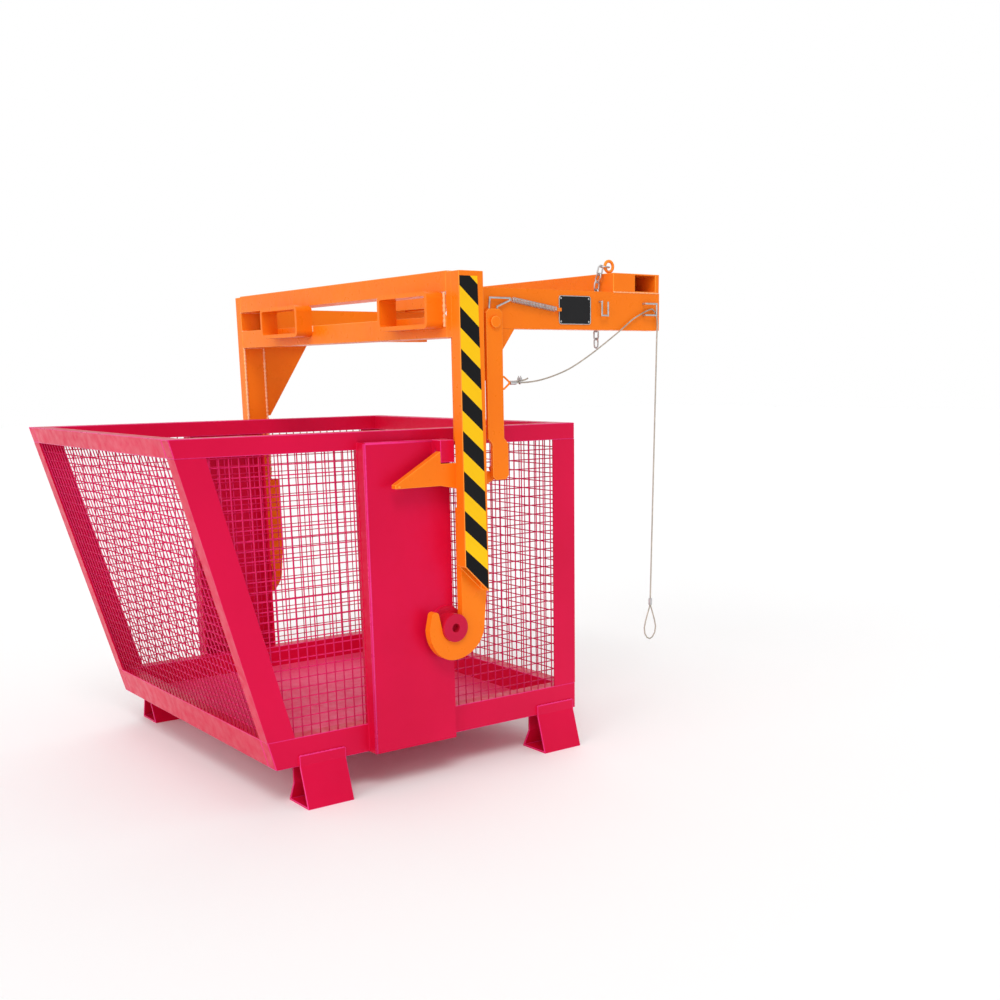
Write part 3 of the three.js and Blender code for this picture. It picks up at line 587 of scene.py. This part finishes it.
def frame_welds():
    post_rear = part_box("near_post")[1][0]
    chord_low, chord_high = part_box("lower_chord")
    top_chord_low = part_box("upper_chord")[0]
    cross_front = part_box("rear_cross_tube")[0][0]
    front = chord_low[0]
    for hand in ("near", "far"):
        outside, inside = (0, 1) if hand == "near" else (1, 0)
        hook_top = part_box(f"{hand}_hook")[1][2]
        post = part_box(f"{hand}_post")
        inner = post[inside][1]
        bead(f"weld_{hand}_hook_top", (post[0][0] + HOOK_SEAM_INSET, inner, hook_top),
             (post[1][0], inner, hook_top), "frame")
        sleeve_low, sleeve_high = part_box(f"{hand}_fork_sleeve")
        for end, y in (("in", sleeve_low[1]), ("out", sleeve_high[1])):
            bead(f"weld_{hand}_sleeve_{end}", (front, y, sleeve_low[2] + SLEEVE_SEAM_RISE),
                 (front, y, chord_high[2]), "frame", seed=3)
        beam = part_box(f"{hand}_side_beam")
        beam_low, beam_high = beam
        outer = beam[outside][1]
        bead(f"weld_{hand}_beam", (beam_low[0], outer, beam_low[2]), (beam_low[0], outer, beam_high[2]),
             "frame", radius=THIN_BEAD, seed=5)
        bead(f"weld_{hand}_cross", (cross_front, outer, beam_high[2]),
             (beam_high[0] - CROSS_SEAM_INSET, outer, beam_high[2]), "frame", radius=THIN_BEAD, seed=7)
        reach = (chord_low, chord_high)[outside][1]
        for level, z in (("low", chord_low[2]), ("slot", chord_high[2]), ("high", top_chord_low[2])):
            bead(f"weld_{hand}_head_{level}", (front, reach, z), (post_rear, reach, z), "frame",
                 radius=MEDIUM_BEAD, seed=9)


def post_welds():
    low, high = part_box("far_post")
    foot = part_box("far_hook")[1][2] + POST_SEAM_RISE
    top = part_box("lower_chord")[0][2]
    for edge, corner in (("front", low[0]), ("rear", high[0])):
        x = corner + POST_SEAM_INSETS[edge]
        bead(f"weld_far_post_{edge}", (x, low[1], foot), (x, low[1], top), "frame",
             radius=POST_BEAD, seed=15)
    sleeve_low, sleeve_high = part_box("near_fork_sleeve")
    x, y = low[0] - SIDE_SEAM_OUT, sleeve_low[1] - SIDE_SEAM_BESIDE
    bead("weld_near_sleeve_side", (x, y, sleeve_low[2] + SIDE_SEAM_RISE),
         (x, y, sleeve_high[2] - SIDE_SEAM_DROP), "frame", radius=SLEEVE_BEAD, seed=17)


RING_STEPS = 48
RING_WAVE_SHARE, RING_WAVE_TURN = 0.2, 2.3
FOOT_SEAM_BOTTOM = 122 * MM
FOOT_SEAM_INSET = 2 * MM
FOOT_TOP_STANDS_OUT = 3 * MM


def trunnion_weld(hand, side):
    column_low, column_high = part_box(f"{hand}_column")
    face = side * max(abs(column_low[1]), abs(column_high[1]))
    low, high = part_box(f"{hand}_trunnion")
    middle = ((low[0] + high[0]) / 2, (low[2] + high[2]) / 2)
    radius = (high[0] - low[0]) / 2
    ring = [
        (middle[0] + radius * math.cos(t), face, middle[1] + radius * math.sin(t))
        for t in [2 * math.pi * i / RING_STEPS for i in range(RING_STEPS)]
    ]
    radii = [MEDIUM_BEAD * (1 + RING_WAVE_SHARE * math.sin(i * RING_WAVE_TURN)) for i in range(RING_STEPS)]
    vertices, faces = tube(ring, radii, BEAD_SIDES, closed=True)
    piece = add_mesh(f"weld_{hand}_trunnion", vertices, faces, RED, "container", smooth=True)


def column_welds(hand, side):
    low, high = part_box(f"{hand}_column")
    for edge, x in (("front", low[0]), ("rear", high[0])):
        bead(f"weld_{hand}_column_{edge}", (x, side * WALL, low[2]), (x, side * WALL, high[2]),
             "container", radius=THIN_BEAD, material=RED, seed=11)


def foot_welds(hand, side, place):
    low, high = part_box(f"{hand}_{place}_foot")
    name = f"weld_{hand}_{place}_foot"
    wall = side * WALL
    for edge, x in (("a", low[0]), ("b", high[0])):
        bead(f"{name}_{edge}", (x, wall, FOOT_SEAM_BOTTOM), (x, wall, high[2] - FOOT_SEAM_INSET),
             "container", radius=THIN_BEAD, material=RED, seed=13)
    # The bead along the foot's top takes the brighter red, a painted highlight
    y = wall + side * FOOT_TOP_STANDS_OUT
    bead(f"{name}_top", (low[0] + FOOT_SEAM_INSET, y, high[2]), (high[0] - FOOT_SEAM_INSET, y, high[2]),
         "container", material=EDGE_HIGHLIGHT_RED, seed=19)


frame_welds()
post_welds()
for hand, side in (("near", -1), ("far", 1)):
    trunnion_weld(hand, side)
    column_welds(hand, side)
    foot_welds(hand, side, "front")
    foot_welds(hand, side, "rear")


# A bare dark plate on the near beam, with its border and four rivets
PLATE_FRONT, PLATE_REAR = 390 * MM, 510 * MM
PLATE_BOTTOM, PLATE_TOP = 1338 * MM, 1418 * MM
PLATE_CORNER = 7 * MM
CORNER_STEPS = 6
PLATE_THICKNESS = 1.6 * MM
BORDER_WIRE = 1.3 * MM
BORDER_SIDES = 6
RIVET_RADIUS, RIVET_RISE = 3 * MM, 1.8 * MM
RIVET_TIP = 0.01 * MM
RIVET_STEPS = 4
RIVET_SIDES = 12


def plate_outline(ends, levels):
    """A rectangle with round corners, from the middles of its corners."""
    (front, rear), (low, high) = ends, levels
    points = []
    for x, z, start in ((rear, low, -90), (rear, high, 0), (front, high, 90), (front, low, 180)):
        for i in range(CORNER_STEPS + 1):
            turn = math.radians(start + 90 / CORNER_STEPS * i)
            points.append((x + PLATE_CORNER * math.cos(turn), z + PLATE_CORNER * math.sin(turn)))
    return points


def bare_plate():
    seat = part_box("near_side_beam")[0][1]
    face = seat - PLATE_THICKNESS
    ends = PLATE_FRONT + PLATE_CORNER, PLATE_REAR - PLATE_CORNER
    levels = PLATE_BOTTOM + PLATE_CORNER, PLATE_TOP - PLATE_CORNER
    points = plate_outline(ends, levels)
    count = len(points)
    vertices = [(x, seat, z) for x, z in points] + [(x, face, z) for x, z in points]
    faces = [tuple(count + k for k in range(count))]
    faces += [(k, (k + 1) % count, count + (k + 1) % count, count + k) for k in range(count)]
    add_mesh("bare_plate", vertices, faces, PLATE, "frame")
    vertices, faces = tube([(x, face, z) for x, z in points], BORDER_WIRE, BORDER_SIDES, closed=True)
    add_mesh("bare_plate_border", vertices, faces, STEEL, "frame", smooth=True)
    dome = []
    for i in range(RIVET_STEPS + 1):
        turn = math.pi / 2 * i / RIVET_STEPS
        dome.append((RIVET_RADIUS * math.cos(turn) + RIVET_TIP, RIVET_RISE * math.sin(turn)))
    vertices, faces = merged([button(x, face, z, dome, RIVET_SIDES) for x in ends for z in levels])
    add_mesh("bare_plate_rivets", vertices, faces, STEEL, "frame", smooth=True)


bare_plate()


# Return spring: the same helix and wire as the solid, in finer steps
SPRING_FRONT = Vector((208, -708.8, 1403)) * MM
SPRING_REAR = Vector((374, -708.8, 1378)) * MM
SPRING_CURLS = 30
SPRING_STEPS_PER_CURL = 18
SPRING_RADIUS = 7 * MM
SPRING_WIRE = 1.2 * MM


def return_spring():
    axis = SPRING_REAR - SPRING_FRONT
    along = axis.normalized()
    side = Vector((0, 1, 0))
    up = along.cross(side)
    lead = 2 * SPRING_WIRE / axis.length
    whole = 2 * math.pi * SPRING_CURLS
    path = []
    count = SPRING_CURLS * SPRING_STEPS_PER_CURL
    for i in range(count + 1):
        t = i / count
        turn = min(max((t - lead) / (1 - 2 * lead), 0), 1) * whole
        radius = SPRING_RADIUS * min(1, min(turn, whole - turn) / math.pi)
        path.append(SPRING_FRONT + axis * t + side * radius * math.cos(turn) + up * radius * math.sin(turn))
    vertices, faces = tube(path, SPRING_WIRE)
    piece = add_mesh("spring", vertices, faces, STEEL, None, smooth=True)
    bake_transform(piece)
    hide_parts("return_spring")


return_spring()


# Latch tip: a small set rivet in the brighter orange, a painted highlight, with its profile as pairs of
# radius and rise
LATCH_RIVET_INSET, LATCH_RIVET_HEIGHT = 13 * MM, 893 * MM
LATCH_RIVET_SUNK = 0.3 * MM
LATCH_RIVET_PROFILE = ((4.2, 0), (4.2, 0.9), (3.2, 1.5), (1.6, 1.8), (0.2, 1.85))
LATCH_RIVET_SIDES = 14


def latch_rivet():
    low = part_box("latch_plate")[0]
    profile = [(radius * MM, rise * MM) for radius, rise in LATCH_RIVET_PROFILE]
    vertices, faces = button(low[0] + LATCH_RIVET_INSET, low[1] + LATCH_RIVET_SUNK, LATCH_RIVET_HEIGHT,
                             profile, LATCH_RIVET_SIDES)
    piece = add_mesh("latch_tip_rivet", vertices, faces, EDGE_HIGHLIGHT_ORANGE, "latch", smooth=True)


latch_rivet()


# Safety chain: welded links that hang from the eye, inside the near beam
LINK_WIRE = 2.5 * MM
LINK_BEND = 8.5 * MM
LINK_BEND_STEPS = 8
LINK_STRAIGHT = 12 * MM
LINK_PITCH = 24 * MM
FIRST_LINK = 13 * MM
CHAIN_LINKS = 11
CHAIN_ROUTE = ((620, -655, 1509), (592, -655, 1507), (588, -650, 1485), (588, -637, 1440), (588, -635, 1220))
CHAIN_STEPS = 600
TANGENT_STEPS = 12


def chain_link(centre, along, across):
    path = []
    for end, start in ((1, -90), (-1, 90)):
        for i in range(LINK_BEND_STEPS + 1):
            turn = math.radians(start + 180 / LINK_BEND_STEPS * i)
            path.append(centre + along * (end * LINK_STRAIGHT / 2 + LINK_BEND * math.cos(turn))
                        + across * (LINK_BEND * math.sin(turn)))
    return tube(path, LINK_WIRE, closed=True)


def safety_chain():
    """Each link is turned by a quarter from the one before; the second is in the bend by the eye."""
    route = [Vector(p) * MM for p in CHAIN_ROUTE]
    length = path_length(route)
    fine = smooth_path(route, CHAIN_STEPS)
    links = []
    for i in range(CHAIN_LINKS):
        place = (FIRST_LINK + i * LINK_PITCH) / length * CHAIN_STEPS
        k = min(max(round(place), TANGENT_STEPS), CHAIN_STEPS - TANGENT_STEPS)
        along = (fine[k + TANGENT_STEPS] - fine[k - TANGENT_STEPS]).normalized()
        if i == 1:
            across = along.cross(Vector((0, 1, 0))).normalized()
        else:
            helper = Vector((1, 0, 0)) if i % 2 else Vector((0, 1, 0))
            across = (helper - along * helper.dot(along)).normalized()
        links.append(chain_link(fine[k], along, across))
    vertices, faces = merged(links)
    add_mesh("safety_chain", vertices, faces, STEEL, "frame", smooth=True)


safety_chain()


# Release rope: the same route as the solid, in millimetres, as one round tube
ROPE_DIAMETER = 4.5 * MM
ROPE_STEPS = 420
ROPE_Y = -708.45
ROPE_ROUTE = (
    (222.6, 1171), (244.6, 1171), (279.6, 1172.9), (320.2, 1178.9), (374.7, 1192.6), (429.7, 1212.1),
    (494.8, 1244.6), (559.9, 1282.1), (619.9, 1319.1), (679.9, 1358), (745, 1385), (762, 1381), (772, 1367),
    (776, 1343), (775, 1290.8), (773.8, 1221.2), (772.2, 1134.2), (770.2, 1029.8), (768.3, 925.4),
    (766.4, 821), (764.5, 716.6), (762.6, 612.2), (760, 473),
)

# The rope's short end and the U-bolt on it, in millimetres
TAIL_ROUTE = ((214, 1174.2), (226, 1175.4), (240, 1176.2), (254, 1178.6), (266, 1183))
TAIL_STEPS = 24
U_BOLT_X = 236
U_BOLT_WIRE = 1.4
LEG_OFFSET = 5
LEG_TOP, LEG_BEND = 1190, 1172
LEG_BEND_STEPS = 8
SADDLE_HALF, SADDLE_TOP_HALF, SADDLE_REACH = 4, 3, 8
SADDLE_FOOT, SADDLE_SHOULDER, SADDLE_TOP = 1178.4, 1180, 1181
NUT_TOP, NUT_RADIUS, NUT_SIDES = 1185.5, 3.9, 6


def rope_points(route):
    return [Vector((x, ROPE_Y, z)) * MM for x, z in route]


def rope_tail():
    """The short end folded back along the rope."""
    vertices, faces = tube(smooth_path(rope_points(TAIL_ROUTE), TAIL_STEPS), ROPE_DIAMETER / 2)
    piece = add_mesh("rope_tail", vertices, faces, ROPE, "lever", smooth=True)
    return piece


def rope_u_clamp():
    """The U-bolt round the rope and its short end, with its saddle and two nuts."""
    x, near, far = U_BOLT_X, ROPE_Y - LEG_OFFSET, ROPE_Y + LEG_OFFSET
    bend = [
        (x, ROPE_Y - LEG_OFFSET * math.cos(t), LEG_BEND - LEG_OFFSET * math.sin(t))
        for t in [math.pi * i / LEG_BEND_STEPS for i in range(1, LEG_BEND_STEPS)]
    ]
    legs = [(x, near, LEG_TOP), (x, near, LEG_BEND), *bend, (x, far, LEG_BEND), (x, far, LEG_TOP)]
    saddle = [
        (x - SADDLE_HALF, SADDLE_FOOT), (x + SADDLE_HALF, SADDLE_FOOT),
        (x + SADDLE_HALF, SADDLE_SHOULDER), (x + SADDLE_TOP_HALF, SADDLE_TOP),
        (x - SADDLE_TOP_HALF, SADDLE_TOP), (x - SADDLE_HALF, SADDLE_SHOULDER),
    ]
    parts = [tube(legs, U_BOLT_WIRE), plate_mesh(saddle, ROPE_Y - SADDLE_REACH, ROPE_Y + SADDLE_REACH)]
    parts += [tube([(x, y, SADDLE_TOP), (x, y, NUT_TOP)], NUT_RADIUS, NUT_SIDES) for y in (near, far)]
    vertices, faces = merged(parts)
    piece = add_mesh("rope_u_clamp", [Vector(v) * MM for v in vertices], faces, STEEL, "lever")
    return piece


def release_rope():
    """The rope as one tube between the lever and the guide, with its tail and U-bolt."""
    points = rope_points(ROPE_ROUTE)
    path = smooth_path(points, ROPE_STEPS)
    vertices, faces = tube(path, ROPE_DIAMETER / 2)
    piece = add_mesh("rope", vertices, faces, ROPE, None, smooth=True)
    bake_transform(piece)
    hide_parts("release_rope")
    with_pieces = ["rope_clamp", "rope_end_clamp", "rope_end_loop", rope_tail(), rope_u_clamp()]


release_rope()


# Stage: pale floor, soft light from all round and three broad lamps
AMBIENT = 0.62
FLOOR_HALF = 30
FLOOR_GREY = 0.97
FLOOR_ROUGHNESS = 0.75
LAMPS = (
    {"name": "key", "direction": (0.35, 0.62, -0.85), "energy": 1.05, "degrees": 24},
    {"name": "fill", "direction": (0.9, 0.25, -0.35), "energy": 1.1, "degrees": 50},
    {"name": "back", "direction": (-0.6, -0.5, -0.6), "energy": 0.35, "degrees": 60},
)


def make_floor():
    material, _, _, shader = new_material("studio_floor")
    shader.inputs["Base Color"].default_value = (FLOOR_GREY, FLOOR_GREY, FLOOR_GREY, 1)
    shader.inputs["Roughness"].default_value = FLOOR_ROUGHNESS
    corners = [(x * FLOOR_HALF, y * FLOOR_HALF, 0) for x, y in ((-1, -1), (1, -1), (1, 1), (-1, 1))]
    add_mesh("studio_floor", corners, [(0, 1, 2, 3)], material, None)


def make_world():
    """White where the camera sees it, and dimmer as a light."""
    world = bpy.data.worlds.new("studio")
    bpy.context.scene.world = world
    world.use_nodes = True
    nodes, links = world.node_tree.nodes, world.node_tree.links
    background = nodes["Background"]
    background.inputs["Color"].default_value = (1, 1, 1, 1)
    path = nodes.new("ShaderNodeLightPath")
    seen = nodes.new("ShaderNodeMath")
    seen.operation = "MAXIMUM"
    links.new(path.outputs["Is Camera Ray"], seen.inputs[0])
    links.new(path.outputs["Is Transmission Ray"], seen.inputs[1])
    strength = nodes.new("ShaderNodeMath")
    strength.operation = "MULTIPLY_ADD"
    strength.inputs[1].default_value = 1 - AMBIENT
    strength.inputs[2].default_value = AMBIENT
    links.new(seen.outputs["Value"], strength.inputs[0])
    links.new(strength.outputs["Value"], background.inputs["Strength"])


def make_lamp(name, direction, energy, degrees):
    data = bpy.data.lights.new(name, "SUN")
    data.energy = energy
    data.angle = math.radians(degrees)
    lamp = bpy.data.objects.new(name, data)
    bpy.context.collection.objects.link(lamp)
    lamp.rotation_mode = "QUATERNION"
    lamp.rotation_quaternion = Vector(direction).to_track_quat("-Z", "Y")


make_floor()
make_world()
for settings in LAMPS:
    make_lamp(**settings)
bpy.context.scene.view_settings.view_transform = "Standard"
